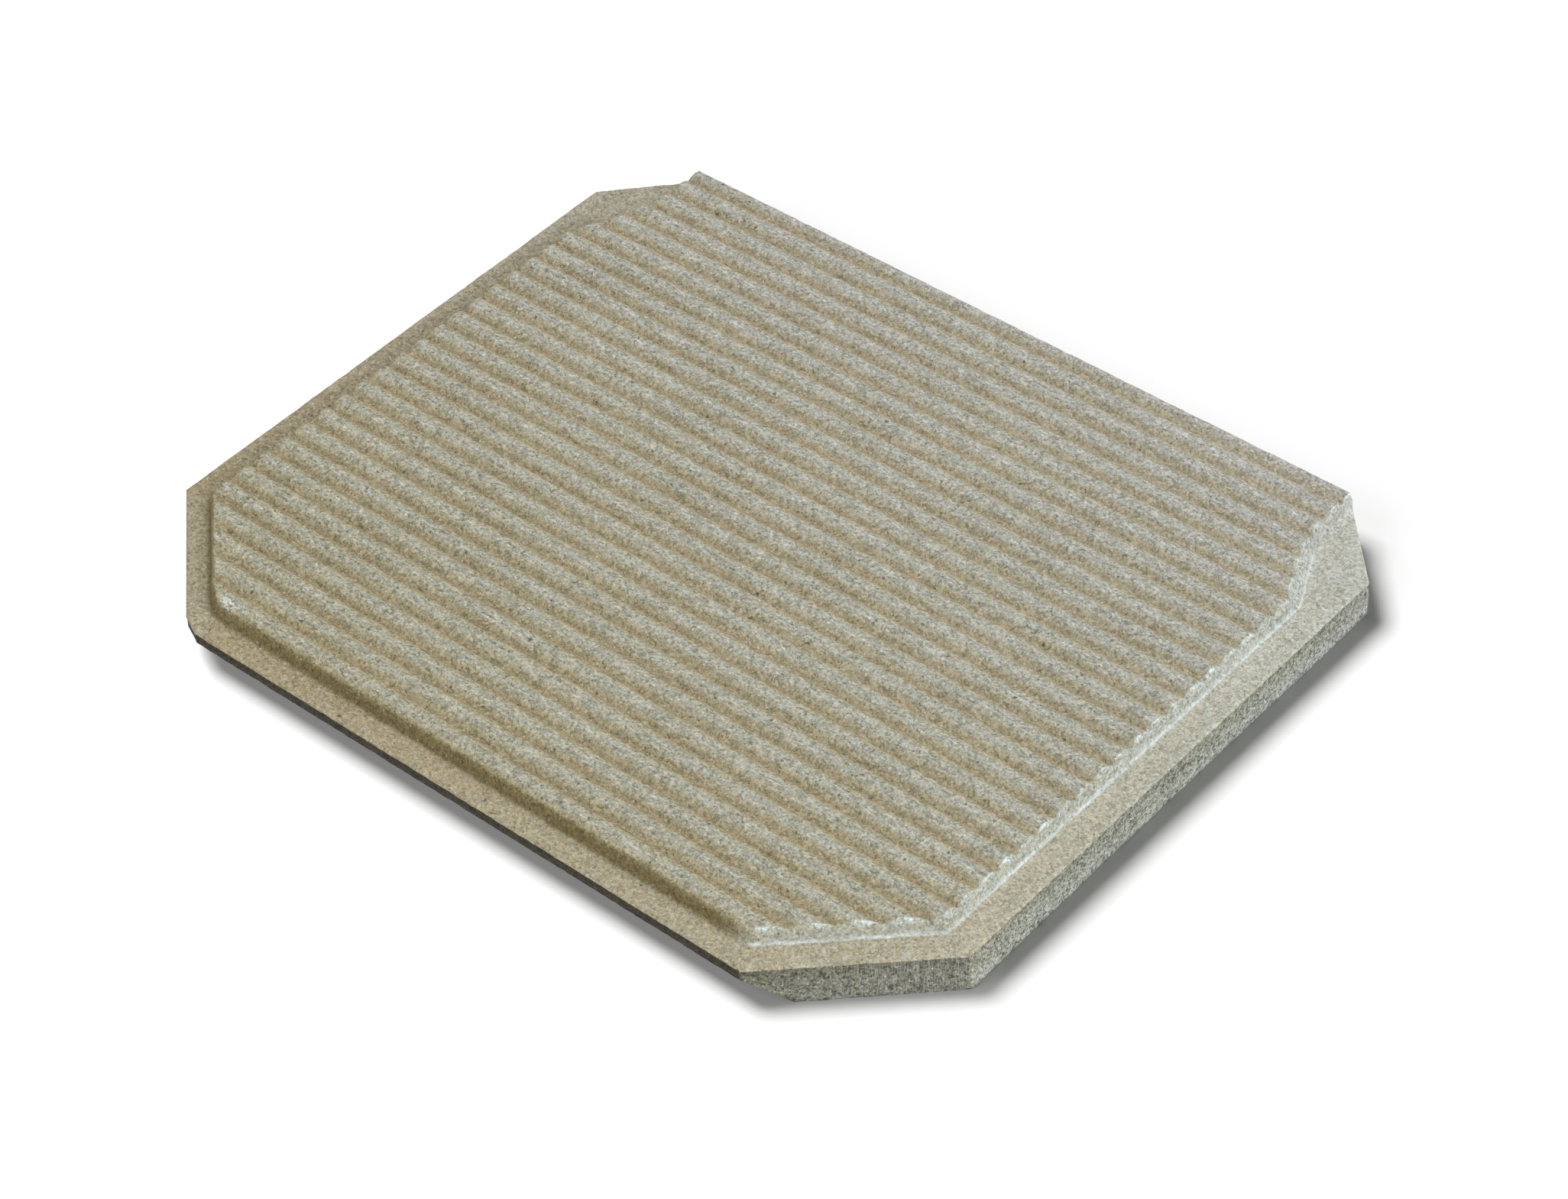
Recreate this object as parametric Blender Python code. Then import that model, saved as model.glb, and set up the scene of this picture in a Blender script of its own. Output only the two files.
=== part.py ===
"""Ribbed mineral slab: one solid pressed board.

A flat eight-sided base with a narrow plain rim carries a raised field of
parallel convex ribs.  The field has drafted walls, follows the two long corner
clips at the front-left end, steps inward near the trimmed edge and runs out
through that edge.  The underside of the front-left edge is relieved by a
45 degree chamfer.

Frame: +X along the ribs, +Y across the ribs, +Z up, underside on Z = 0,
origin under the centre of the plan.
"""
import math

import bmesh
import bpy

# ---------------------------------------------------------------- dimensions
HALF_X = 0.1816          # half of the overall size along the ribs
HALF_Y = 0.1482          # half of the overall size across the ribs
BASE_T = 0.0152          # rim plane above the underside
FIELD_H = 0.0060         # rib crests above the rim plane

FRONT_CLIP_X = 0.0532    # clips at the two -Y corners
FRONT_CLIP_Y = 0.0500
BACK_CLIP_X = 0.0274     # what is left of the clips at the two +Y corners
BACK_CLIP_Y = 0.0285
NICK_BACK = 0.0058       # small break between the left clip and the -Y edge
NICK_ALONG = 0.0043

LAND_H = 0.0045          # upright land left above the underside chamfer
TRIM_EXTRA = 0.0070      # stock beyond the trimmed +Y edge before the cut

RIB_PITCH = 0.0100
RIB_COUNT = 29
RIB_FIRST_Y = -0.1324    # centre line of the first crest
RIB_DEPTH = 0.0021       # crest to valley
RIB_KNOTS = (0.22, 0.46, 0.68, 0.85)  # profile breaks, as shares of half a rib

# Walls of the raised field: (top edge, foot) of each one.
FIELD_X = (0.1680, 0.1701)        # +X and -X sides
FIELD_Y = (0.1366, 0.1384)        # -Y side
STEP_X = (0.1533, 0.1554)         # narrower end of the field
STEP_Y0 = (0.0900, 0.0952)        # where the side walls turn inward
STEP_MID_X = (0.1576, 0.1632)     # knee in the slanting wall
STEP_MID_Y = (0.1110, 0.1093)
STEP_Y1 = (0.1290, 0.1253)        # where they straighten again
LEFT_CLIP_GAP = (0.0106, 0.0086)  # rim edge to wall, across the left clip
RIGHT_CLIP_GAP = (0.0122, 0.0101)  # rim edge to wall, across the right clip


# ------------------------------------------------------------------- helpers
def clear_scene():
    for ob in list(bpy.data.objects):
        bpy.data.objects.remove(ob, do_unlink=True)


def line_through(p, q):
    """Line n.x = c with n the right-hand (outward, for a CCW loop) normal."""
    dx, dy = q[0] - p[0], q[1] - p[1]
    length = math.hypot(dx, dy)
    n = (dy / length, -dx / length)
    return n, n[0] * p[0] + n[1] * p[1]


def cross_lines(a, b):
    (n1, c1), (n2, c2) = a, b
    det = n1[0] * n2[1] - n1[1] * n2[0]
    return ((c1 * n2[1] - c2 * n1[1]) / det, (n1[0] * c2 - n2[0] * c1) / det)


def shifted(line, offset):
    n, c = line
    return n, c + offset


def loop_from_lines(lines):
    count = len(lines)
    return [cross_lines(lines[i - 1], lines[i]) for i in range(count)]


def rounded(loop, radii, segments):
    """Replace each corner of a convex or concave loop by an arc."""
    out = []
    count = len(loop)
    for i, (p, r) in enumerate(zip(loop, radii)):
        a, b = loop[i - 1], loop[(i + 1) % count]
        if r <= 0.0:
            out.append(p)
            continue
        ua = (a[0] - p[0], a[1] - p[1])
        ub = (b[0] - p[0], b[1] - p[1])
        la, lb = math.hypot(*ua), math.hypot(*ub)
        ua = (ua[0] / la, ua[1] / la)
        ub = (ub[0] / lb, ub[1] / lb)
        half = 0.5 * math.acos(max(-1.0, min(1.0, ua[0] * ub[0] + ua[1] * ub[1])))
        reach = r / math.tan(half)
        bis = (ua[0] + ub[0], ua[1] + ub[1])
        lbis = math.hypot(*bis)
        centre = (p[0] + bis[0] / lbis * r / math.sin(half),
                  p[1] + bis[1] / lbis * r / math.sin(half))
        start = (p[0] + ua[0] * reach, p[1] + ua[1] * reach)
        end = (p[0] + ub[0] * reach, p[1] + ub[1] * reach)
        t0 = math.atan2(start[1] - centre[1], start[0] - centre[0])
        t1 = math.atan2(end[1] - centre[1], end[0] - centre[0])
        turn = (t1 - t0 + math.pi) % (2.0 * math.pi) - math.pi
        for k in range(segments + 1):
            t = t0 + turn * k / segments
            out.append((centre[0] + r * math.cos(t), centre[1] + r * math.sin(t)))
    return out


def mesh_object(name, verts, faces):
    mesh = bpy.data.meshes.new(name)
    mesh.from_pydata(verts, [], faces)
    mesh.validate()
    bm = bmesh.new()
    bm.from_mesh(mesh)
    bmesh.ops.recalc_face_normals(bm, faces=bm.faces)
    bm.to_mesh(mesh)
    bm.free()
    ob = bpy.data.objects.new(name, mesh)
    bpy.context.scene.collection.objects.link(ob)
    return ob


def stack(name, rings):
    """Solid through a stack of (plan loop, height) rings of equal count."""
    count = len(rings[0][0])
    verts = [(x, y, z) for loop, z in rings for x, y in loop]
    last = (len(rings) - 1) * count
    faces = [list(range(count))[::-1], [last + i for i in range(count)]]
    for level in range(len(rings) - 1):
        low, high = level * count, (level + 1) * count
        for i in range(count):
            j = (i + 1) % count
            faces.append([low + i, low + j, high + j])
            faces.append([low + i, high + j, high + i])
    return mesh_object(name, verts, faces)


def extrude_x(name, profile, x0, x1):
    """Solid made by running a (y, z) profile along X."""
    count = len(profile)
    verts = [(x0, y, z) for y, z in profile] + [(x1, y, z) for y, z in profile]
    faces = [list(range(count)), [count + i for i in range(count)][::-1]]
    for i in range(count):
        j = (i + 1) % count
        faces.append([i, count + i, count + j, j])
    return mesh_object(name, verts, faces)


def combine(target, tool, operation):
    tool.hide_render = True
    tool.display_type = 'WIRE'
    mod = target.modifiers.new("combine", 'BOOLEAN')
    mod.operation = operation
    mod.solver = 'EXACT'
    mod.object = tool
    depsgraph = bpy.context.evaluated_depsgraph_get()
    baked = bpy.data.meshes.new_from_object(target.evaluated_get(depsgraph))
    target.modifiers.clear()
    old = target.data
    target.data = baked
    bpy.data.meshes.remove(old)
    bpy.data.objects.remove(tool, do_unlink=True)


# ------------------------------------------------------------------ geometry
def base_lines():
    """Edges of the plan, counter-clockwise from the -Y edge."""
    top = HALF_Y + TRIM_EXTRA
    run = BACK_CLIP_X / BACK_CLIP_Y * (BACK_CLIP_Y + TRIM_EXTRA)
    low_left = (-HALF_X + FRONT_CLIP_X, -HALF_Y)
    low_right = (HALF_X - FRONT_CLIP_X, -HALF_Y)
    right_a = (HALF_X, -HALF_Y + FRONT_CLIP_Y)
    right_b = (HALF_X, HALF_Y - BACK_CLIP_Y)
    top_right = (HALF_X - run, top)
    top_left = (-HALF_X + run, top)
    left_b = (-HALF_X, HALF_Y - BACK_CLIP_Y)
    left_a = (-HALF_X, -HALF_Y + FRONT_CLIP_Y)
    return [low_left, low_right, right_a, right_b, top_right, top_left,
            left_b, left_a]


def field_loop(level):
    """Plan of the raised field: level 0 is its top edge, level 1 its foot."""
    def at(pair):
        return pair[0] + (pair[1] - pair[0]) * level

    left_clip = line_through((-HALF_X, -HALF_Y + FRONT_CLIP_Y),
                             (-HALF_X + FRONT_CLIP_X, -HALF_Y))
    right_clip = line_through((HALF_X - FRONT_CLIP_X, -HALF_Y),
                              (HALF_X, -HALF_Y + FRONT_CLIP_Y))
    left_clip = shifted(left_clip, -at(LEFT_CLIP_GAP))
    right_clip = shifted(right_clip, -at(RIGHT_CLIP_GAP))
    lower = ((0.0, -1.0), at(FIELD_Y))
    right = ((1.0, 0.0), at(FIELD_X))
    left = ((-1.0, 0.0), at(FIELD_X))
    steps = [(at(FIELD_X), at(STEP_Y0)), (at(STEP_MID_X), at(STEP_MID_Y)),
             (at(STEP_X), at(STEP_Y1)), (at(STEP_X), HALF_Y + TRIM_EXTRA)]
    loop = [cross_lines(left_clip, lower), cross_lines(lower, right_clip),
            cross_lines(right_clip, right)]
    loop += steps + [(-x, y) for x, y in reversed(steps)]
    loop.append(cross_lines(left, left_clip))
    radii = [0.016, 0.006, 0.003, 0.003, 0.0, 0.003, 0.0,
             0.0, 0.003, 0.0, 0.003, 0.004]
    return rounded(loop, radii, 4)


def rib_drop(u):
    """Fall below the crest at u, from 0 on the crest to 1 in the valley."""
    u = abs(u)
    return RIB_DEPTH * u ** 2.3


def rib_profile():
    """Underside well inside the base, convex ribs on top."""
    z_crest = BASE_T + FIELD_H
    half = RIB_PITCH * 0.5
    knots = [-1.0] + [-k for k in reversed(RIB_KNOTS)] + list(RIB_KNOTS)
    pts = []
    for rib in range(RIB_COUNT + 1):
        centre = RIB_FIRST_Y + rib * RIB_PITCH
        for u in knots:
            if rib == 0 and u < -RIB_KNOTS[1]:
                continue
            pts.append((centre + u * half, z_crest - rib_drop(u)))
    start = pts[0][0] - 0.0045
    pts = [(start, BASE_T - 0.002), (start, z_crest - 0.0006)] + pts
    pts.append((pts[-1][0], BASE_T - 0.002))
    return pts


def corner_cutters():
    """Upright cut through the corner, and the relief that follows under it."""
    along = math.hypot(FRONT_CLIP_X, FRONT_CLIP_Y)
    corner = (-HALF_X + FRONT_CLIP_X, -HALF_Y)
    a = (corner[0] - NICK_BACK * FRONT_CLIP_X / along,
         corner[1] + NICK_BACK * FRONT_CLIP_Y / along)
    b = (corner[0] + NICK_ALONG, corner[1])
    dx, dy = b[0] - a[0], b[1] - a[1]
    length = math.hypot(dx, dy)
    t = (dx / length, dy / length)
    out = (t[1], -t[0])
    reach = 0.060

    def ring(inward):
        mid = (0.5 * (a[0] + b[0]) - out[0] * inward,
               0.5 * (a[1] + b[1]) - out[1] * inward)
        near_a = (mid[0] - t[0] * reach, mid[1] - t[1] * reach)
        near_b = (mid[0] + t[0] * reach, mid[1] + t[1] * reach)
        far_b = (near_b[0] + out[0] * reach, near_b[1] + out[1] * reach)
        far_a = (near_a[0] + out[0] * reach, near_a[1] + out[1] * reach)
        return [near_a, near_b, far_b, far_a]

    rise = BASE_T - LAND_H
    upright = stack("corner_chip", [(ring(0.0), -0.002),
                                    (ring(0.0), BASE_T + 0.002)])
    relief = stack("corner_relief", [(ring(rise + 0.002), -0.002),
                                     (ring(-0.001), rise + 0.001)])
    return [upright, relief]


def stone_material():
    mat = bpy.data.materials.new("pressed_mineral_stone")
    mat.use_nodes = True
    shader = mat.node_tree.nodes["Principled BSDF"]
    shader.inputs["Base Color"].default_value = (0.37, 0.34, 0.26, 1.0)
    shader.inputs["Roughness"].default_value = 0.9
    shader.inputs["Metallic"].default_value = 0.0
    return mat


def build_slab():
    plan = base_lines()
    slab = stack("ribbed_slab", [(plan, 0.0), (plan, BASE_T)])

    # The field is carried a little below the rim plane, so that the two
    # solids overlap before they are joined, and above the crests.
    foot, top = field_loop(1.0), field_loop(0.0)
    field = stack("field_body", [(foot, BASE_T - 0.0030), (foot, BASE_T),
                                 (top, BASE_T + FIELD_H),
                                 (top, BASE_T + FIELD_H + 0.0020)])
    ribs = extrude_x("rib_body", rib_profile(), -HALF_X, HALF_X)
    combine(field, ribs, 'INTERSECT')
    # The corner clips are sawn through field and base alike.
    outline = stack("outline", [(plan, -0.010), (plan, 0.050)])
    combine(field, outline, 'INTERSECT')
    combine(slab, field, 'UNION')

    # The straight cut that trims the +Y edge through base and ribs.
    far = HALF_Y + TRIM_EXTRA + 0.010
    saw = extrude_x("edge_cut", [(HALF_Y, -0.010), (far, -0.010),
                                 (far, 0.040), (HALF_Y, 0.040)],
                    -HALF_X - 0.010, HALF_X + 0.010)
    combine(slab, saw, 'DIFFERENCE')

    # 45 degree relief under the -Y edge, below the upright land.
    rise = BASE_T - LAND_H
    reach = 0.010
    wedge = extrude_x("edge_relief",
                      [(-HALF_Y - reach, rise + reach),
                       (-HALF_Y - reach, -reach),
                       (-HALF_Y + rise + reach, -reach)],
                      -HALF_X - 0.010, HALF_X + 0.010)
    combine(slab, wedge, 'DIFFERENCE')

    # Small broken corner where the left clip meets the -Y edge.
    for cutter in corner_cutters():
        combine(slab, cutter, 'DIFFERENCE')

    bm = bmesh.new()
    bm.from_mesh(slab.data)
    bmesh.ops.remove_doubles(bm, verts=bm.verts, dist=0.00001)
    bmesh.ops.dissolve_limit(bm, angle_limit=0.002, verts=bm.verts, edges=bm.edges)
    bmesh.ops.triangulate(bm, faces=[f for f in bm.faces if len(f.verts) > 4])
    bmesh.ops.recalc_face_normals(bm, faces=bm.faces)
    bm.to_mesh(slab.data)
    bm.free()

    slab.data.materials.clear()
    slab.data.materials.append(stone_material())
    for poly in slab.data.polygons:
        poly.material_index = 0
        poly.use_smooth = False
    return slab


clear_scene()
build_slab()
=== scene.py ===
import math

import bpy
import numpy as np
from mathutils import Matrix, Vector
from mathutils.geometry import delaunay_2d_cdt


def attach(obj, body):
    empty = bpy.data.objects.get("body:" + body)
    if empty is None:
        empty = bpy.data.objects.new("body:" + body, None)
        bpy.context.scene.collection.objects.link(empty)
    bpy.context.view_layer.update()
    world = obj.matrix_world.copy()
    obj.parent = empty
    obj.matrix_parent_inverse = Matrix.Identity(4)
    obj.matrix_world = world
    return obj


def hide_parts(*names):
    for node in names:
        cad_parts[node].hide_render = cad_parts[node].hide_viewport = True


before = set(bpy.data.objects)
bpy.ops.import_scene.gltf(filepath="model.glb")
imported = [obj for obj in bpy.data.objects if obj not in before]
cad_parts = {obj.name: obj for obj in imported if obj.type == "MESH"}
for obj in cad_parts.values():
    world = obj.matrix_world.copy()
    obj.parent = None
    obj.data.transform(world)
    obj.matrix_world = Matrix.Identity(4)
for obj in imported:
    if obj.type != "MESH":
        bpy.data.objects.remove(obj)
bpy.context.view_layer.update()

# ------------------------------------------------------------ sizes (metres)
HX, HY = 0.1816, 0.1482
T = 0.0152                       # rim plane
H = 0.0060                       # crests above the rim plane
FCX, FCY = 0.0532, 0.0500        # clips at the -Y corners
BCX, BCY = 0.0274, 0.0285        # clips at the +Y corners
NICK_BACK, NICK_ALONG = 0.0058, 0.0043
LAND = 0.0045
RISE = T - LAND
PITCH, FIRST_Y, DEPTH = 0.0100, -0.1324, 0.0021


def hash_values(ix, iy, iz, seed):
    h = (ix.astype(np.int64) * 374761393 + iy.astype(np.int64) * 668265263
         + iz.astype(np.int64) * 2147483647 + seed * 1274126177) & 0xffffffff
    h = ((h ^ (h >> 13)) * 1274126177) & 0xffffffff
    h = ((h ^ (h >> 16)) * 2246822519) & 0xffffffff
    h = h ^ (h >> 15)
    return (h & 0xffffff).astype(np.float64) / float(0x7fffff) - 1.0


def value_noise(p, cell, seed):
    """Smooth noise in -1..1 at the points p, with one lattice value per cell."""
    q = p / cell
    i = np.floor(q)
    f = q - i
    f = f * f * (3.0 - 2.0 * f)
    ix, iy, iz = i[:, 0], i[:, 1], i[:, 2]
    total = 0.0
    for dx in (0, 1):
        wx = f[:, 0] if dx else 1.0 - f[:, 0]
        for dy in (0, 1):
            wy = f[:, 1] if dy else 1.0 - f[:, 1]
            for dz in (0, 1):
                wz = f[:, 2] if dz else 1.0 - f[:, 2]
                total = total + wx * wy * wz * hash_values(ix + dx, iy + dy, iz + dz, seed)
    return total


def noise2(x, y, cell, seed):
    return value_noise(np.stack([x, y, np.full_like(x, 0.137)], -1), cell, seed)


def smooth_min(a, b, k):
    h = np.clip(0.5 + 0.5 * (b - a) / k, 0.0, 1.0)
    return b * (1 - h) + a * h - k * h * (1.0 - h)


def smooth_max(a, b, k):
    return -smooth_min(-a, -b, k)


def step(a, b, x):
    t = np.clip((x - a) / (b - a), 0.0, 1.0)
    return t * t * (3.0 - 2.0 * t)


# ------------------------------------------------------------------ outlines
def line_through(p, q):
    dx, dy = q[0] - p[0], q[1] - p[1]
    length = math.hypot(dx, dy)
    n = (dy / length, -dx / length)
    return n, n[0] * p[0] + n[1] * p[1]


def cross_lines(a, b):
    (n1, c1), (n2, c2) = a, b
    det = n1[0] * n2[1] - n1[1] * n2[0]
    return ((c1 * n2[1] - c2 * n1[1]) / det, (n1[0] * c2 - n2[0] * c1) / det)


def nick_points():
    corner = (-HX + FCX, -HY)
    along = math.hypot(FCX, FCY)
    a = (corner[0] - NICK_BACK * FCX / along, corner[1] + NICK_BACK * FCY / along)
    b = (corner[0] + NICK_ALONG, corner[1])
    return a, b


def outline_lines(inset):
    """The nine sides, counter-clockwise from -Y. Two of them lean in by inset."""
    na, nb = nick_points()
    pts = [nb, (HX - FCX, -HY), (HX, -HY + FCY), (HX, HY - BCY), (HX - BCX, HY),
           (-HX + BCX, HY), (-HX, HY - BCY), (-HX, -HY + FCY), na]
    lines = [line_through(pts[i], pts[(i + 1) % 9]) for i in range(9)]
    lines[0] = (lines[0][0], lines[0][1] - inset)
    lines[8] = (lines[8][0], lines[8][1] - inset)
    return lines


def outline_corners(inset):
    lines = outline_lines(inset)
    return [cross_lines(lines[i - 1], lines[i]) for i in range(9)]


def rounded(loop, radii, segments):
    out = []
    count = len(loop)
    for i, (p, r) in enumerate(zip(loop, radii)):
        a, b = loop[i - 1], loop[(i + 1) % count]
        if r <= 0.0:
            out.append(p)
            continue
        ua = (a[0] - p[0], a[1] - p[1])
        ub = (b[0] - p[0], b[1] - p[1])
        la, lb = math.hypot(*ua), math.hypot(*ub)
        ua, ub = (ua[0] / la, ua[1] / la), (ub[0] / lb, ub[1] / lb)
        half = 0.5 * math.acos(max(-1.0, min(1.0, ua[0] * ub[0] + ua[1] * ub[1])))
        reach = r / math.tan(half)
        bis = (ua[0] + ub[0], ua[1] + ub[1])
        lbis = math.hypot(*bis)
        centre = (p[0] + bis[0] / lbis * r / math.sin(half),
                  p[1] + bis[1] / lbis * r / math.sin(half))
        s = (p[0] + ua[0] * reach, p[1] + ua[1] * reach)
        e = (p[0] + ub[0] * reach, p[1] + ub[1] * reach)
        t0 = math.atan2(s[1] - centre[1], s[0] - centre[0])
        t1 = math.atan2(e[1] - centre[1], e[0] - centre[0])
        turn = (t1 - t0 + math.pi) % (2.0 * math.pi) - math.pi
        for k in range(segments + 1):
            t = t0 + turn * k / segments
            out.append((centre[0] + r * math.cos(t), centre[1] + r * math.sin(t)))
    return out


FIELD_X = (0.1680, 0.1701)
FIELD_Y = (0.1366, 0.1384)
STEP_X = (0.1533, 0.1554)
STEP_Y0 = (0.0900, 0.0952)
STEP_MID_X = (0.1576, 0.1632)
STEP_MID_Y = (0.1110, 0.1093)
STEP_Y1 = (0.1290, 0.1253)
LEFT_GAP = (0.0106, 0.0086)
RIGHT_GAP = (0.0122, 0.0101)


def field_loop(level):
    def at(pair):
        return pair[0] + (pair[1] - pair[0]) * level

    n, c = line_through((-HX, -HY + FCY), (-HX + FCX, -HY))
    left_clip = (n, c - at(LEFT_GAP))
    n, c = line_through((HX - FCX, -HY), (HX, -HY + FCY))
    right_clip = (n, c - at(RIGHT_GAP))
    lower = ((0.0, -1.0), at(FIELD_Y))
    right = ((1.0, 0.0), at(FIELD_X))
    left = ((-1.0, 0.0), at(FIELD_X))
    steps = [(at(FIELD_X), at(STEP_Y0)), (at(STEP_MID_X), at(STEP_MID_Y)),
             (at(STEP_X), at(STEP_Y1)), (at(STEP_X), HY + 0.012)]
    loop = [cross_lines(left_clip, lower), cross_lines(lower, right_clip),
            cross_lines(right_clip, right)]
    loop += steps + [(-x, y) for x, y in reversed(steps)]
    loop.append(cross_lines(left, left_clip))
    radii = [0.016, 0.005, 0.003, 0.003, 0.003, 0.003, 0.0,
             0.0, 0.003, 0.003, 0.003, 0.004]
    return rounded(loop, radii, 6)


def signed_distance(x, y, loop):
    """Distance to a closed loop, positive inside."""
    best = np.full(x.shape, 1e9)
    inside = np.zeros(x.shape, dtype=bool)
    count = len(loop)
    for i in range(count):
        ax, ay = loop[i]
        bx, by = loop[(i + 1) % count]
        ex, ey = bx - ax, by - ay
        wx, wy = x - ax, y - ay
        t = np.clip((wx * ex + wy * ey) / max(ex * ex + ey * ey, 1e-18), 0.0, 1.0)
        d = (wx - ex * t) ** 2 + (wy - ey * t) ** 2
        best = np.minimum(best, d)
        if ay != by:
            crosses = (ay > y) != (by > y)
            xc = ax + (y - ay) * (bx - ax) / (by - ay)
            inside ^= crosses & (x < xc)
    return np.where(inside, 1.0, -1.0) * np.sqrt(best)


FOOT, TOP = field_loop(1.0), field_loop(0.0)
OUTLINE = outline_corners(0.0)


def rib_height(x, y):
    wobble = 0.00010 * noise2(x, y, 0.022, 5) + 0.00006 * noise2(x * 0.4, y, 0.006, 6)
    u = (y + wobble - FIRST_Y) / (0.5 * PITCH)
    u = np.abs((u + 1.0) % 2.0 - 1.0)
    drop = u ** 2.3                      # full round tops, sharp valleys
    depth = DEPTH * (1.0 + 0.08 * noise2(x, y, 0.030, 7))
    return H - depth * drop, u


def surface(x, y):
    """Height of the upper face and the masks that go with it."""
    rough = 0.00014 * noise2(x, y, 0.0023, 11) + 0.00010 * noise2(x, y, 0.0048, 12)
    foot = signed_distance(x, y, FOOT) + rough
    top = signed_distance(x, y, TOP) + rough
    run = np.maximum(foot - top, 0.0008)
    ribs, u = rib_height(x, y)
    wall = foot * H / run
    # The lip and foot are crisp on the +X walls and soft along -Y.
    front = step(-0.128, -0.1345, y) * step(0.146, 0.120, x)
    field = smooth_min(ribs, wall, 0.0007 + 0.0016 * front)
    z = smooth_max(np.zeros_like(x), field, 0.0006 + 0.0016 * front)
    z = np.where(foot < -0.004, 0.0, z)
    edge = signed_distance(x, y, OUTLINE)
    chips = np.clip(noise2(x, y, 0.0021, 21) * 0.6 + noise2(x, y, 0.0052, 22) * 0.6, -0.2, 1.0)
    worn = np.clip(1.0 - edge / 0.0008, 0.0, 1.0) ** 2
    lift = T + z
    grain = 0.000075 * noise2(x, y, 0.0014, 31) + 0.00006 * noise2(x, y, 0.0031, 32) \
        + 0.00005 * noise2(x, y, 0.011, 33)
    lift = lift + grain - worn * (0.00025 + 0.00035 * np.clip(chips, 0.0, 1.0))
    return lift, foot, top, u, edge


# ------------------------------------------------------------ top face points
def resample(loop_a, loop_b, spacing):
    """Matching points along two loops with the same corners."""
    out_a, out_b = [], []
    count = len(loop_a)
    for i in range(count):
        j = (i + 1) % count
        a0, a1 = np.array(loop_a[i]), np.array(loop_a[j])
        b0, b1 = np.array(loop_b[i]), np.array(loop_b[j])
        length = max(np.linalg.norm(a1 - a0), np.linalg.norm(b1 - b0))
        n = max(1, int(round(length / spacing)))
        t = np.arange(n)[:, None] / n
        out_a.append(a0 + (a1 - a0) * t)
        out_b.append(b0 + (b1 - b0) * t)
    return np.concatenate(out_a), np.concatenate(out_b)


def along_sides(inset, counts):
    corners = outline_corners(inset)
    pts, side = [], []
    for i in range(9):
        a, b = np.array(corners[i]), np.array(corners[(i + 1) % 9])
        t = np.arange(counts[i])[:, None] / counts[i]
        pts.append(a + (b - a) * t)
        side += [i] * counts[i]
    return np.concatenate(pts), np.array(side)


rng = np.random.default_rng(407)
side_counts = []
for i in range(9):
    a, b = OUTLINE[i], OUTLINE[(i + 1) % 9]
    side_counts.append(max(3, int(round(math.hypot(b[0] - a[0], b[1] - a[1]) / 0.00115))))
ring, ring_side = along_sides(0.0, side_counts)
ring_count = len(ring)

clouds = []
lines0 = outline_lines(0.0)
for depth_in in (0.00035, 0.00095):
    shrunk = [cross_lines((lines0[i - 1][0], lines0[i - 1][1] - depth_in),
                          (lines0[i][0], lines0[i][1] - depth_in)) for i in range(9)]
    a, _ = resample(shrunk, shrunk, 0.00115)
    clouds.append(a)

foot_pts, top_pts = resample(FOOT, TOP, 0.0011)
across = top_pts - foot_pts
length = np.linalg.norm(across, axis=1)[:, None]
direction = across / length
wall_rows = [foot_pts + across * k for k in (0.0, 0.17, 0.34, 0.50, 0.66, 0.82, 1.0)]
wall_rows += [foot_pts - direction * k for k in (0.0005, 0.0012, 0.0020)]
wall_rows += [top_pts + direction * k for k in (0.0004, 0.0009, 0.0015)]
wall_cloud = np.concatenate(wall_rows)
keep = (signed_distance(wall_cloud[:, 0], wall_cloud[:, 1], OUTLINE) > 0.0016)
clouds.append(wall_cloud[keep])

# Rows that follow the ribs, closer together where the profile turns.
rows = []
for rib in range(-1, 30):
    for u in (-1.0, -0.91, -0.76, -0.56, -0.30, 0.0, 0.30, 0.56, 0.76, 0.91):
        rows.append(FIRST_Y + (rib + 0.5 * u) * PITCH)
rows = np.array(rows)
cols = np.arange(-0.169, 0.1691, 0.00152)
gx, gy = np.meshgrid(cols, rows)
gx = gx + np.where(np.arange(len(rows)) % 2 == 0, 0.0, 0.00076)[:, None]
gx = gx + rng.uniform(-0.00022, 0.00022, gx.shape)
gy = gy + rng.uniform(-0.00008, 0.00008, gy.shape)
gx, gy = gx.ravel(), gy.ravel()
keep = (signed_distance(gx, gy, TOP) > 0.0021) & (signed_distance(gx, gy, OUTLINE) > 0.0014)
clouds.append(np.stack([gx[keep], gy[keep]], -1))

rx, ry = np.meshgrid(np.arange(-HX, HX, 0.00145), np.arange(-HY, HY, 0.00130))
rx = rx + np.where(np.arange(rx.shape[0]) % 2 == 0, 0.0, 0.0007)[:, None]
rx = rx + rng.uniform(-0.00022, 0.00022, rx.shape)
ry = ry + rng.uniform(-0.00022, 0.00022, ry.shape)
rx, ry = rx.ravel(), ry.ravel()
keep = (signed_distance(rx, ry, FOOT) < -0.0026) & (signed_distance(rx, ry, OUTLINE) > 0.0016)
clouds.append(np.stack([rx[keep], ry[keep]], -1))

cloud = np.concatenate([ring] + clouds)
loop_edges = [(i, (i + 1) % ring_count) for i in range(ring_count)]
flat, _, tris, orig, _, _ = delaunay_2d_cdt(
    [Vector((float(x), float(y))) for x, y in cloud], loop_edges, [], 1, 1e-7, True)
flat = np.array([(v[0], v[1]) for v in flat])
tris = [tuple(t) for t in tris]
ring_index = {}
for new, olds in enumerate(orig):
    for old in olds:
        if old < ring_count:
            ring_index[old] = new
on_ring = set(ring_index.values())


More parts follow.
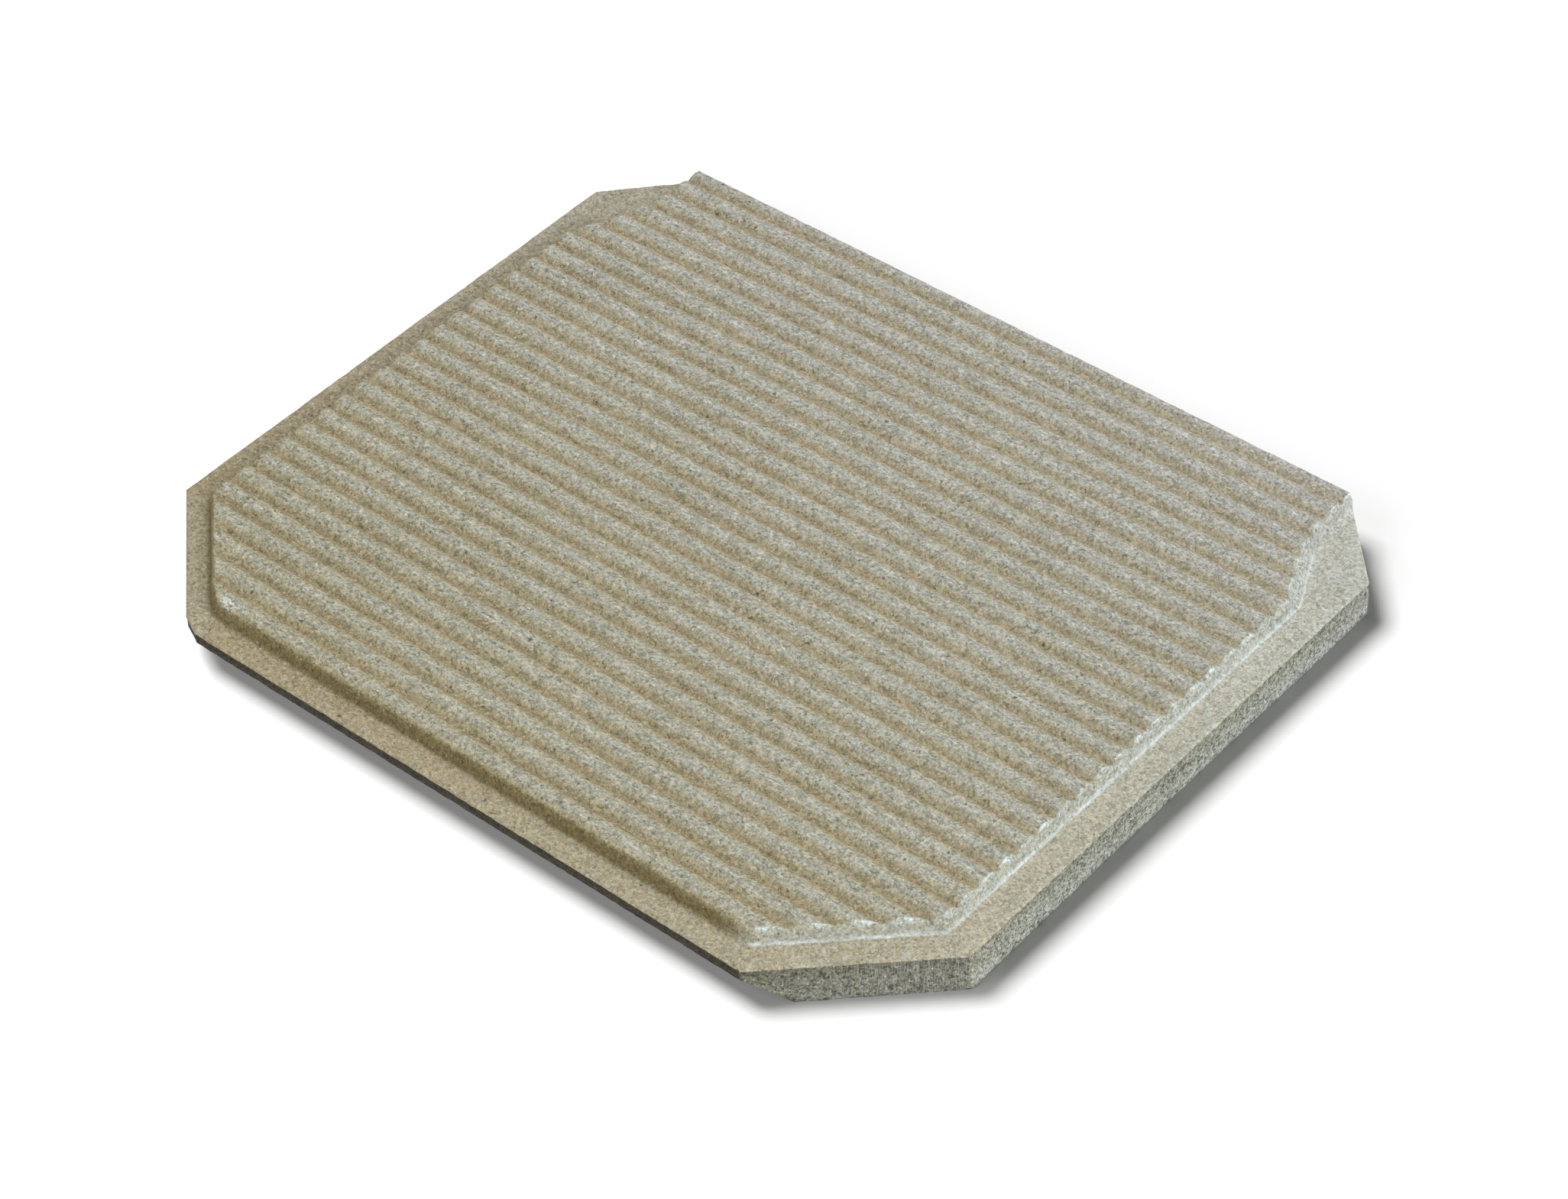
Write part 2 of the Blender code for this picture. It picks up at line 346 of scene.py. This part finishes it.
def hair(tri):
    """A hair-thin triangle left outside one of the straight sides."""
    if not all(k in on_ring for k in tri):
        return False
    p, q, r = (flat[k] for k in tri)
    twice = abs((q[0] - p[0]) * (r[1] - p[1]) - (r[0] - p[0]) * (q[1] - p[1]))
    longest = max(np.linalg.norm(q - p), np.linalg.norm(r - q), np.linalg.norm(p - r))
    return twice / longest < 1.0e-5


tris = [t for t in tris if not hair(t)]
top_z, foot_d, top_d, rib_u, edge_d = surface(flat[:, 0], flat[:, 1])

verts = [np.column_stack([flat, top_z])]
kind = [np.zeros(len(flat))]               # 0 upper face, 1 sawn side, 2 underside
faces = list(tris)

# --------------------------------------------------------------------- sides
shares = [0.035, 0.14, 1.0 - RISE / T, 0.42, 0.56, 0.70, 0.85, 0.985, 1.0]
base = len(flat)
previous = [ring_index[i] for i in range(ring_count)]
top_ring_z = top_z[previous]
lines = outline_lines(0.0)
normals = np.array([lines[s][0] for s in ring_side])
tangent_prev = np.array([lines[(s - 1) % 9][0] for s in ring_side])
first = np.concatenate([[0], np.cumsum(side_counts)[:-1]])
normals[first] = normals[first] + tangent_prev[first]
normals /= np.linalg.norm(normals, axis=1)[:, None]
# The front clip was sawn a little out of square: its foot stands proud of the rim.
lean = np.zeros((ring_count, 2))
clip_n = np.array(lines[1][0])
on_clip = np.flatnonzero(ring_side == 1)
along = np.arange(len(on_clip)) / len(on_clip)
lean[on_clip] = clip_n * (0.0013 - 0.0005 * along)[:, None]
lean[on_clip[0]] = (0.0013 / clip_n[0], 0.0)
on_right = np.flatnonzero(ring_side == 2)
reach = np.arange(len(on_right)) * 0.00115
lean[on_right, 0] = 0.0008 * np.clip(1.0 - reach / 0.070, 0.0, 1.0)
lean[on_right[0]] = (0.0008, 0.0008 * (1.0 - clip_n[0]) / clip_n[1])
for share in shares:
    z = top_ring_z * (1.0 - share)
    level = T * (1.0 - share)
    inset = max(0.0, RISE - level)
    pts, _ = along_sides(inset, side_counts)
    p3 = np.column_stack([pts, z])
    push = 0.00011 * value_noise(p3, 0.0017, 41) + 0.00009 * value_noise(p3, 0.0042, 42) - 0.00010
    if share == 1.0:
        push -= 0.00008
    elif share > 0.98:
        push += 0.00002
    chip = np.clip(value_noise(p3, 0.0030, 43) * 1.6 - 0.75, 0.0, 1.0)
    if share in (shares[0], shares[2], 0.985):
        push = push - 0.0003 * chip
    pts = pts + normals * push[:, None] + lean * share
    current = list(range(base, base + ring_count))
    verts.append(np.column_stack([pts, z]))
    kind.append(np.ones(ring_count))
    for i in range(ring_count):
        j = (i + 1) % ring_count
        faces.append((previous[j], previous[i], current[i], current[j]))
    previous = current
    base += ring_count
faces.append(tuple(reversed(previous)))

co = np.concatenate(verts)
co[:, 2] = np.maximum(co[:, 2], 0.0)
mesh = bpy.data.meshes.new("ribbed_slab_stone")
mesh.from_pydata([tuple(map(float, v)) for v in co], [], faces)
mesh.validate()
mesh.update()
slab = bpy.data.objects.new("ribbed_slab_stone", mesh)
bpy.context.scene.collection.objects.link(slab)
mesh.shade_smooth()
mesh.set_sharp_from_angle(angle=math.radians(48))


# --------------------------------------------------------------------- masks
def attribute(name, values):
    layer = mesh.attributes.new(name, 'FLOAT', 'POINT')
    layer.data.foreach_set("value", np.asarray(values, dtype=np.float32))


count_top, total = len(flat), len(co)
x, y = flat[:, 0], flat[:, 1]


def top_only(values):
    out = np.zeros(total)
    out[:count_top] = values
    return out


# Crest and valley bands for the colour, set a little off the true crests and valleys: the crest band carries a
# painted sheen and the valley band painted shade, on top of the stone's own grey and brown.
u_shade = np.abs((((y + 0.0004 - FIRST_Y) / (0.5 * PITCH)) + 1.0) % 2.0 - 1.0)
on_top = step(-0.0004, 0.0012, top_d)
attribute("crest", top_only(step(0.78, 0.05, u_shade) * on_top))
u_low = np.abs((((y + 0.0005 - FIRST_Y) / (0.5 * PITCH)) + 1.0) % 2.0 - 1.0)
attribute("valley", top_only(step(0.60, 0.98, u_low) * on_top))
attribute("on_field", top_only(step(0.0, 0.0012, foot_d)))
attribute("sawn", np.concatenate(kind))
right_side = step(0.110, 0.128, x)
clip_band = right_side * step(-0.094, -0.102, y)
corner_patch = np.exp(-(((x + 0.1205) / 0.0040) ** 2 + ((y + 0.1340) / 0.0022) ** 2))
# Distances from the foot and lip lines in millimetres, and how strongly each carries a painted highlight line.
foot_mm, top_mm = np.full(total, -50.0), np.full(total, -50.0)
foot_mm[:count_top], top_mm[:count_top] = 1000.0 * foot_d, 1000.0 * top_d
attribute("foot_mm", np.clip(foot_mm, -20.0, 20.0))
attribute("top_mm", np.clip(top_mm, -20.0, 20.0))
attribute("foot_highlight", top_only(right_side * (0.62 + 0.38 * clip_band)
                               * np.clip(0.85 + 0.55 * noise2(x, y, 0.012, 51), 0.0, 1.3)
                               * step(0.128, 0.104, y)))
attribute("lip_highlight", top_only(right_side * (0.22 + 0.78 * step(0.85, 0.25, rib_u))
                              * (0.80 + 0.20 * clip_band)
                              * np.clip(0.85 + 0.60 * noise2(x, y, 0.007, 52), 0.0, 1.3)))
attribute("clip_highlight_band", top_only(clip_band))
attribute("pale_corner_patch", top_only(0.62 * corner_patch))
# Painted shade: the -Y wall and the creases at the foot of the other walls, away from the +X side.
front_wall_shade = step(-0.0009, 0.0005, foot_d) * step(0.0011, -0.0003, top_d) \
    * step(-0.128, -0.133, y) * step(0.124, 0.112, x)
crease_shade = np.exp(-((foot_d + 0.0002) / np.where(x < -0.165, 0.0020, 0.0011)) ** 2) * (1.0 - right_side) * step(0.128, 0.100, y)
crease_shade = crease_shade * np.where(y < -0.134, 0.45, 0.9)
# Painted light: the +X walls turn to their lit grey.
attribute("lit_grey_wall", top_only(right_side * step(-0.0009, 0.0005, foot_d)
                                * step(0.0011, -0.0003, top_d)))
left_rim = step(-0.1785, -0.1758, x) * step(-0.1690, -0.1705, x) * step(-0.100, -0.086, y)
# Painted light: the rim along the left clip is pushed towards its lit grey colour.
left_clip = step(-0.110, -0.130, x) * step(-0.094, -0.104, y) * step(0.0, -0.0004, foot_d)
attribute("rim_shade", top_only(left_rim))
attribute("rim_pale", top_only(left_clip))
attribute("brown", top_only(np.clip(0.95 * front_wall_shade + crease_shade, 0.0, 1.0)))
ring_tag = np.tile(ring_side, len(shares))
ring_share = np.repeat(np.array(shares), ring_count)
tail = total - count_top
# Painted shade: darkest on the -Y, nick and left clip sides, and partly on the front clip.
undercut = np.zeros(total)
undercut[count_top:] = np.where(((ring_tag == 0) | (ring_tag == 8) | (ring_tag == 7)),
                                1.0, 0.0)[:tail]
undercut[count_top:] += np.where(ring_tag == 1, 0.44, 0.0)[:tail]
attribute("shade_under", undercut)
mark = np.zeros(total)
mark[count_top:] = np.where(ring_tag == 1, 1.0, 0.0)[:tail]
mark = mark * step(0.140, 0.160, co[:, 0])
attribute("sawmark", mark)

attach(slab, "root")
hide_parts("ribbed_slab")


# ----------------------------------------------------------------- materials
class Nodes:
    """Short calls for building a node tree."""

    def __init__(self, tree):
        self.tree = tree

    def new(self, kind, **values):
        node = self.tree.nodes.new(kind)
        for key, value in values.items():
            setattr(node, key, value)
        return node

    def put(self, socket, value):
        if isinstance(value, bpy.types.NodeSocket):
            self.tree.links.new(value, socket)
        elif value is not None:
            socket.default_value = value

    def math(self, op, a, b=None, c=None, clamp=False):
        node = self.new("ShaderNodeMath", operation=op, use_clamp=clamp)
        for i, v in enumerate((a, b, c)):
            if v is not None:
                self.put(node.inputs[i], v)
        return node.outputs[0]

    def mix(self, fac, a, b, blend='MIX'):
        node = self.new("ShaderNodeMix", data_type='RGBA', blend_type=blend)
        self.put(node.inputs["Factor"], fac)
        self.put(node.inputs[6], a)
        self.put(node.inputs[7], b)
        return node.outputs[2]

    def ramp(self, value, stops, interpolation='LINEAR'):
        node = self.new("ShaderNodeValToRGB")
        ramp = node.color_ramp
        ramp.interpolation = interpolation
        while len(ramp.elements) < len(stops):
            ramp.elements.new(0.5)
        for element, (position, colour) in zip(ramp.elements, stops):
            element.position = position
            element.color = colour if len(colour) == 4 else (*colour, 1.0)
        self.put(node.inputs[0], value)
        return node.outputs[0]

    def remap(self, value, a, b, c=0.0, d=1.0):
        node = self.new("ShaderNodeMapRange", clamp=True)
        self.put(node.inputs[0], value)
        for i, v in enumerate((a, b, c, d)):
            node.inputs[i + 1].default_value = v
        return node.outputs[0]

    def attr(self, name):
        return self.new("ShaderNodeAttribute", attribute_name=name).outputs["Fac"]

    def noise(self, vector, scale, detail=2.0, rough=0.5):
        node = self.new("ShaderNodeTexNoise")
        self.put(node.inputs["Vector"], vector)
        node.inputs["Scale"].default_value = scale
        node.inputs["Detail"].default_value = detail
        node.inputs["Roughness"].default_value = rough
        return node.outputs["Fac"]

    def voronoi(self, vector, scale, feature='F1'):
        node = self.new("ShaderNodeTexVoronoi", feature=feature)
        self.put(node.inputs["Vector"], vector)
        node.inputs["Scale"].default_value = scale
        return node

    def channels(self, colour):
        node = self.new("ShaderNodeSeparateColor")
        self.put(node.inputs[0], colour)
        return node.outputs


# Linear colours of the pressed face and of the sawn sides.
# SLOPE, CREST and VALLEY are partly the stone's own colours; CREST also holds a painted sheen and VALLEY painted
# shade.
SLOPE = (0.368, 0.300, 0.186, 1.0)
CREST = (0.365, 0.327, 0.257, 1.0)
VALLEY = (0.302, 0.224, 0.128, 1.0)
# The rim in painted shade, tan, and in painted light, grey.
RIM_SHADED_TAN = (0.344, 0.249, 0.136, 1.0)
RIM_LIT_GREY = (0.426, 0.394, 0.316, 1.0)
# Painted shade on the -Y wall and the wall-foot creases.
WALL_SHADE_BROWN = (0.222, 0.170, 0.082, 1.0)
# Painted light on the +X walls.
WALL_LIT_GREY = (0.372, 0.350, 0.282, 1.0)
# Sawn sides: painted shade high up, painted light low down.
CUT_HIGH = (0.208, 0.194, 0.136, 1.0)
CUT_LOW = (0.338, 0.315, 0.246, 1.0)
# Painted shade on the undercut.
CUT_UNDER_SHADE = (0.042, 0.036, 0.022, 1.0)
GRAIN = 1.20
GREY_GRAIN = 0.34


def stone():
    mat = bpy.data.materials.new("pressed_stone")
    mat.use_nodes = True
    tree = mat.node_tree
    n = Nodes(tree)
    shader = tree.nodes["Principled BSDF"]
    place = n.new("ShaderNodeTexCoord").outputs["Object"]
    xyz = n.new("ShaderNodeSeparateXYZ")
    n.put(xyz.inputs[0], place)

    crest = n.attr("crest")
    valley = n.attr("valley")
    field = n.attr("on_field")
    sawn_side = n.attr("sawn")
    shade_under = n.attr("shade_under")

    # Three sizes of grain, about 1.1, 0.6 and 0.35 mm across.
    coarse = n.voronoi(place, 900.0)
    medium = n.voronoi(place, 1650.0)
    fine = n.voronoi(place, 2900.0)
    a = n.channels(coarse.outputs["Color"])
    b = n.channels(medium.outputs["Color"])
    c = n.channels(fine.outputs["Color"])
    mottle = n.noise(place, 300.0, 3.0, 0.6)
    broad = n.noise(place, 34.0, 3.0, 0.55)

    def centred(value, amount):
        return n.math('MULTIPLY', n.math('SUBTRACT', value, 0.5), amount)

    # Painted light: paler, greyer and brighter towards the +X +Y corner, where the cool light falls.
    side_to_side = n.math('ADD', n.math('MULTIPLY', xyz.outputs[0], 1.1),
                          n.math('MULTIPLY', xyz.outputs[1], 1.4))

    # Silver-grey along the crests, tan on the slopes, brown in the valleys: partly the stone's own colours,
    # partly a painted sheen on the crests and painted shade in the valleys.
    grey = n.math('ADD', crest, n.math('ADD', centred(b[2], GREY_GRAIN), centred(mottle, 0.75)))
    grey = n.math('ADD', grey, n.math('MULTIPLY', side_to_side, 0.8), clamp=True)
    colour = n.mix(grey, SLOPE, CREST)
    brown = n.math('MULTIPLY', valley, n.math('ADD', 1.0, centred(a[2], 0.9)))
    brown = n.math('MULTIPLY', brown, n.math('SUBTRACT', 1.0, n.math(
        'MULTIPLY', side_to_side, 1.5)), clamp=True)
    colour = n.mix(brown, colour, VALLEY)
    # The rim mixes a tan copy in painted shade and a grey copy in painted light, greyer towards +X +Y and on the
    # left clip rim.
    rim_mix = n.math('ADD', n.math('ADD', n.math('ADD', 0.5, n.math(
        'MULTIPLY', n.attr("rim_pale"), 0.26)), side_to_side),
                     n.math('ADD', centred(b[2], 0.28), centred(mottle, 0.50)), clamp=True)
    colour = n.mix(field, n.mix(rim_mix, RIM_SHADED_TAN, RIM_LIT_GREY), colour)
    # Painted shade in brown on the -Y wall and the foot creases.
    colour = n.mix(n.attr("brown"), colour, WALL_SHADE_BROWN)
    # Painted light: the +X walls in a lit grey.
    colour = n.mix(n.math('MULTIPLY', n.attr("lit_grey_wall"), n.remap(mottle, 0.35, 0.6, 0.5, 1.0)),
                   colour, WALL_LIT_GREY)

    # Sawn sides: greyer, with painted shade towards the pressed face and painted light towards the floor;
    # painted shade makes the undercut darkest.
    cut = n.mix(n.remap(xyz.outputs[2], 0.0025, 0.0135), CUT_LOW, CUT_HIGH)
    patchy = n.new("ShaderNodeCombineColor")
    for socket in patchy.inputs[:3]:
        n.put(socket, n.math('ADD', 0.86, n.math('MULTIPLY', 0.39, n.math(
            'ADD', 0.36, centred(b[2], 1.1), clamp=True))))
    cut = n.mix(1.0, cut, patchy.outputs[0], 'MULTIPLY')
    cut = n.mix(shade_under, cut, CUT_UNDER_SHADE)
    colour = n.mix(sawn_side, colour, cut)

    # Brightness of each grain, with a tail of dark ones.
    gain = n.math('ADD', n.math('ADD', centred(a[0], 0.40), centred(b[0], 0.44)),
                  centred(c[0], 0.24))
    gain = n.math('MULTIPLY', gain, n.math('ADD', n.math(
        'ADD', 1.00, n.math('MULTIPLY', field, GRAIN - 1.00)), n.math('MULTIPLY', sawn_side, 1.00)))
    gain = n.math('ADD', gain, centred(broad, 0.18))
    # Painted light: brighter towards the +X +Y corner.
    gain = n.math('ADD', gain, n.math('MULTIPLY', side_to_side, 0.14))
    dark = n.math('MULTIPLY', n.math('GREATER_THAN', b[1], 0.92), -0.19)
    gain = n.math('ADD', n.math('ADD', 1.025, gain), dark)
    gain = n.math('SUBTRACT', gain, n.math('MULTIPLY', n.attr("rim_shade"), 0.11))

    # Long pale and dark flakes pressed flat along the ribs.
    stretch = n.new("ShaderNodeMapping")
    stretch.inputs["Scale"].default_value = (0.24, 1.0, 1.0)
    stretch.inputs["Rotation"].default_value = (0.0, 0.0, 0.16)
    n.put(stretch.inputs["Vector"], place)
    flake = n.noise(stretch.outputs[0], 1250.0, 1.5, 0.6)
    streak = n.math('SUBTRACT', n.remap(flake, 0.58, 0.70, 0.0, 0.38),
                    n.remap(flake, 0.40, 0.28, 0.0, 0.24))
    gain = n.math('ADD', gain, n.math('MULTIPLY', streak, n.math('ADD', 0.25, crest)))
    gain = n.math('MAXIMUM', gain, 0.22)

    # Each grain leans a little to gold, rose or silver.
    tint = n.new("ShaderNodeCombineColor")
    n.put(tint.inputs[0], n.math('MULTIPLY', gain, n.math('ADD', 1.0, centred(a[1], 0.06))))
    n.put(tint.inputs[1], n.math('MULTIPLY', gain, n.math('ADD', 1.0, centred(c[1], 0.03))))
    lean = n.math('ADD', n.math('ADD', centred(b[1], -0.05), centred(a[1], -0.12)),
                  n.math('ADD', n.math('MULTIPLY', n.math('SUBTRACT', gain, 1.0), 0.12),
                         n.math('MULTIPLY', dark, n.math('SUBTRACT', 0.45, n.math('MULTIPLY', sawn_side, 0.2)))))
    # Painted light: bluer towards +Y, from the cool light at the back.
    lean = n.math('ADD', lean, n.math('MULTIPLY', xyz.outputs[1], 0.28))
    n.put(tint.inputs[2], n.math('MULTIPLY', gain, n.math('ADD', 1.0, lean)))
    colour = n.mix(1.0, colour, tint.outputs[0], 'MULTIPLY')

    # Dark pores and specks, more of them on the sawn sides.
    pores = n.voronoi(place, 330.0)
    p = n.channels(pores.outputs["Color"])
    wide = n.math('MULTIPLY', p[1], 0.20)
    near = n.math('LESS_THAN', n.math('ADD', pores.outputs["Distance"], centred(b[0], 0.12)),
                  n.math('ADD', 0.08, wide))
    chosen = n.math('GREATER_THAN', n.math('ADD', p[0], n.math('MULTIPLY', sawn_side, 0.36)), 0.95)
    speck = n.math('MULTIPLY', near, chosen)
    colour = n.mix(n.math('MULTIPLY', speck, 0.66), colour, (0.060, 0.042, 0.024, 1.0))

    # Pin-prick pores opened by the saw.
    pits = n.voronoi(place, 720.0)
    t = n.channels(pits.outputs["Color"])
    pit = n.math('LESS_THAN', pits.outputs["Distance"], n.math('ADD', 0.10, n.math('MULTIPLY', t[1], 0.22)))
    pit = n.math('MULTIPLY', n.math('MULTIPLY', pit, n.math('GREATER_THAN', t[0], 0.84)), sawn_side)
    colour = n.mix(n.math('MULTIPLY', pit, 0.72), colour, (0.050, 0.042, 0.028, 1.0))

    # Pale grains: partly their own pale colour and partly a painted glint; they are glossier as well.
    glint = n.voronoi(place, 760.0)
    q = n.channels(glint.outputs["Color"])
    pale = n.math('MULTIPLY', n.math('LESS_THAN', glint.outputs["Distance"], n.math('ADD', 0.16, n.math('MULTIPLY', c[0], 0.20))),
                  n.math('GREATER_THAN', q[1], 0.93))
    colour = n.mix(n.math('MULTIPLY', pale, 0.50), colour, (0.64, 0.62, 0.55, 1.0))

    # Painted highlights: white glinting lines along the lip and the foot of the lit +X and front-clip walls, and
    # a pale patch at the field's front-left corner.
    line_breakup = n.noise(place, 520.0, 2.0, 0.7)
    wobble = n.noise(place, 420.0, 2.0, 0.6)
    clip = n.attr("clip_highlight_band")

    def line(distance, offset, wander, width):
        off = n.math('ADD', n.math('SUBTRACT', distance, offset), centred(wobble, wander))
        off = n.math('DIVIDE', off, width)
        return n.math('EXPONENT', n.math('MULTIPLY', n.math('MULTIPLY', off, off), -1.0))

    foot_line = n.math('MULTIPLY', line(n.attr("foot_mm"), 0.05, 0.9, 0.36), n.attr("foot_highlight"))
    foot_line = n.math('MULTIPLY', foot_line, n.remap(line_breakup, 0.34, 0.56, 0.35, 1.05))
    lip_width = n.math('ADD', 0.32, n.math('MULTIPLY', clip, 0.22))
    lip_line = n.math('MULTIPLY', line(n.attr("top_mm"), 0.10, 2.2, lip_width), n.attr("lip_highlight"))
    lip_line = n.math('MULTIPLY', lip_line, n.remap(line_breakup, 0.43, 0.62, 0.06, 1.05))
    patch = n.math('MULTIPLY', n.attr("pale_corner_patch"), n.remap(b[0], 0.45, 0.70, 0.10, 1.2))
    highlight_and_patch = n.math('ADD', n.math('ADD', n.math('MULTIPLY', foot_line, 0.90), lip_line), patch, clamp=True)
    highlight_and_patch = n.math('MULTIPLY', highlight_and_patch, n.remap(b[0], 0.0, 0.5, 0.70, 1.0))
    colour = n.mix(highlight_and_patch, colour, (0.76, 0.77, 0.73, 1.0))

    # Saw marks down the front clip.
    marks = n.new("ShaderNodeMapping")
    marks.inputs["Scale"].default_value = (1.0, 1.0, 0.09)
    n.put(marks.inputs["Vector"], place)
    saw = n.noise(marks.outputs[0], 2300.0, 1.0, 0.5)
    saw = n.math('MULTIPLY', centred(saw, 1.4), n.attr("sawmark"))
    colour = n.mix(n.math('MULTIPLY', saw, 1.0, clamp=True), colour, (0.52, 0.53, 0.46, 1.0))
    colour = n.mix(n.math('MULTIPLY', saw, -1.0, clamp=True), colour, (0.05, 0.05, 0.035, 1.0))
    n.put(shader.inputs["Base Color"], colour)

    rough = n.math('SUBTRACT', 0.92, n.math('MULTIPLY', pale, 0.40))
    rough = n.math('SUBTRACT', rough, n.math('MULTIPLY', b[2], 0.16))
    n.put(shader.inputs["Roughness"], rough)
    shader.inputs["Specular IOR Level"].default_value = 0.30

    height = n.math('ADD', n.math('MULTIPLY', a[2], 0.46), n.math('MULTIPLY', b[0], 0.26))
    height = n.math('SUBTRACT', height, n.math('MULTIPLY', coarse.outputs["Distance"], 0.40))
    height = n.math('ADD', height, n.math('MULTIPLY', mottle, 0.55))
    height = n.math('ADD', height, n.math('MULTIPLY', flake, 0.35))
    height = n.math('SUBTRACT', height, n.math('ADD', speck, pit))
    bump = n.new("ShaderNodeBump")
    bump.inputs["Strength"].default_value = 0.42
    bump.inputs["Distance"].default_value = 0.00045
    n.put(bump.inputs["Height"], height)
    n.put(shader.inputs["Normal"], bump.outputs[0])
    return mat


mesh.materials.clear()
mesh.materials.append(stone())

# --------------------------------------------------------------------- stage
floor_mesh = bpy.data.meshes.new("floor")
R = 14.0
floor_mesh.from_pydata([(-R, -R, 0), (R, -R, 0), (R, R, 0), (-R, R, 0)], [], [(0, 1, 2, 3)])
floor = bpy.data.objects.new("floor", floor_mesh)
bpy.context.scene.collection.objects.link(floor)
floor_mat = bpy.data.materials.new("pale_floor")
floor_mat.use_nodes = True
floor_shader = floor_mat.node_tree.nodes["Principled BSDF"]
floor_shader.inputs["Base Color"].default_value = (0.86, 0.86, 0.86, 1.0)
floor_shader.inputs["Roughness"].default_value = 0.95
floor_shader.inputs["Specular IOR Level"].default_value = 0.0
floor_mesh.materials.append(floor_mat)

# A pale wall far behind the floor, all the way round.
wall_mesh = bpy.data.meshes.new("backdrop")
around = 64
ring_xy = [(9.0 * math.cos(2.0 * math.pi * k / around), 9.0 * math.sin(2.0 * math.pi * k / around))
           for k in range(around)]
wall_mesh.from_pydata([(px, py, 0.0) for px, py in ring_xy] + [(px, py, 1.35) for px, py in ring_xy],
                      [], [(k, (k + 1) % around, around + (k + 1) % around, around + k)
                           for k in range(around)])
backdrop = bpy.data.objects.new("backdrop", wall_mesh)
bpy.context.scene.collection.objects.link(backdrop)
wall_mat = bpy.data.materials.new("pale_wall")
wall_mat.use_nodes = True
wall_shader = wall_mat.node_tree.nodes["Principled BSDF"]
wall_shader.inputs["Base Color"].default_value = (0.0, 0.0, 0.0, 1.0)
wall_shader.inputs["Specular IOR Level"].default_value = 0.0
wall_shader.inputs["Emission Color"].default_value = (1.0, 1.0, 1.0, 1.0)
wall_shader.inputs["Emission Strength"].default_value = 0.97
wall_mesh.materials.append(wall_mat)

world = bpy.data.worlds.new("studio")
world.use_nodes = True
back = world.node_tree.nodes["Background"]
back.inputs["Color"].default_value = (1.0, 1.0, 1.0, 1.0)
back.inputs["Strength"].default_value = 0.03
bpy.context.scene.world = world


def group(name, *objects):
    coll = bpy.data.collections.new(name)
    for ob in objects:
        coll.objects.link(ob)
    return coll


slab_only = group("lit_slab", slab)
floor_only = group("lit_floor", floor)
shade_floor = group("shade_floor", slab)


def soft_light(name, azimuth, elevation, spread, colour, receivers, blockers=None):
    """A distant softbox; azimuth runs from +X towards +Y, colour is its linear strength."""
    light = bpy.data.lights.new(name, 'SUN')
    peak = max(colour)
    light.energy = math.pi * peak
    light.color = tuple(v / peak for v in colour)
    light.angle = math.radians(spread)
    ob = bpy.data.objects.new(name, light)
    a, e = math.radians(azimuth), math.radians(elevation)
    way = Vector((math.cos(a) * math.cos(e), math.sin(a) * math.cos(e), math.sin(e)))
    ob.location = way * 3.0
    ob.rotation_euler = way.to_track_quat('Z', 'Y').to_euler()
    bpy.context.scene.collection.objects.link(ob)
    ob.light_linking.receiver_collection = receivers
    if blockers is not None:
        ob.light_linking.blocker_collection = blockers
    return ob


soft_light("overhead", 0.0, 88.0, 80.0, (0.60, 0.68, 0.72), slab_only)
soft_light("side_window", 0.0, 18.0, 35.0, (0.70, 0.84, 1.00), slab_only)
soft_light("back_high", 90.0, 50.0, 40.0, (0.20, 0.20, 0.20), slab_only)
soft_light("back_low", 90.0, 18.0, 35.0, (0.10, 0.15, 0.22), slab_only)
soft_light("warm_front", 270.0, 30.0, 50.0, (0.10, 0.07, 0.04), slab_only)
soft_light("floor_light", 182.0, 58.0, 30.0, (1.15, 1.15, 1.15), floor_only, shade_floor)
soft_light("floor_front", 246.0, 30.0, 50.0, (0.43, 0.43, 0.43), floor_only, shade_floor)

# -------------------------------------------------------------------- camera
cam_data = bpy.data.cameras.new("camera")
cam_data.sensor_fit = 'HORIZONTAL'
cam_data.sensor_width = 36.0
cam_data.lens = 96.18
cam_data.clip_start = 0.01
cam_data.clip_end = 100.0
camera = bpy.data.objects.new("camera", cam_data)
right = Vector((0.75493068, 0.65365211, -0.05309037))
up = Vector((-0.41988493, 0.54395083, 0.72650818))
backward = Vector((0.50376215, -0.52617147, 0.68510385))
place = Vector((0.75775, -0.77300, T + H + 0.9875))
camera.matrix_world = Matrix((
    (right.x, up.x, backward.x, place.x),
    (right.y, up.y, backward.y, place.y),
    (right.z, up.z, backward.z, place.z),
    (0.0, 0.0, 0.0, 1.0)))
bpy.context.scene.collection.objects.link(camera)
bpy.context.scene.camera = camera
bpy.context.scene.view_settings.view_transform = 'Standard'

print("slab faces", len(mesh.polygons), "triangles", sum(len(p.vertices) - 2 for p in mesh.polygons))
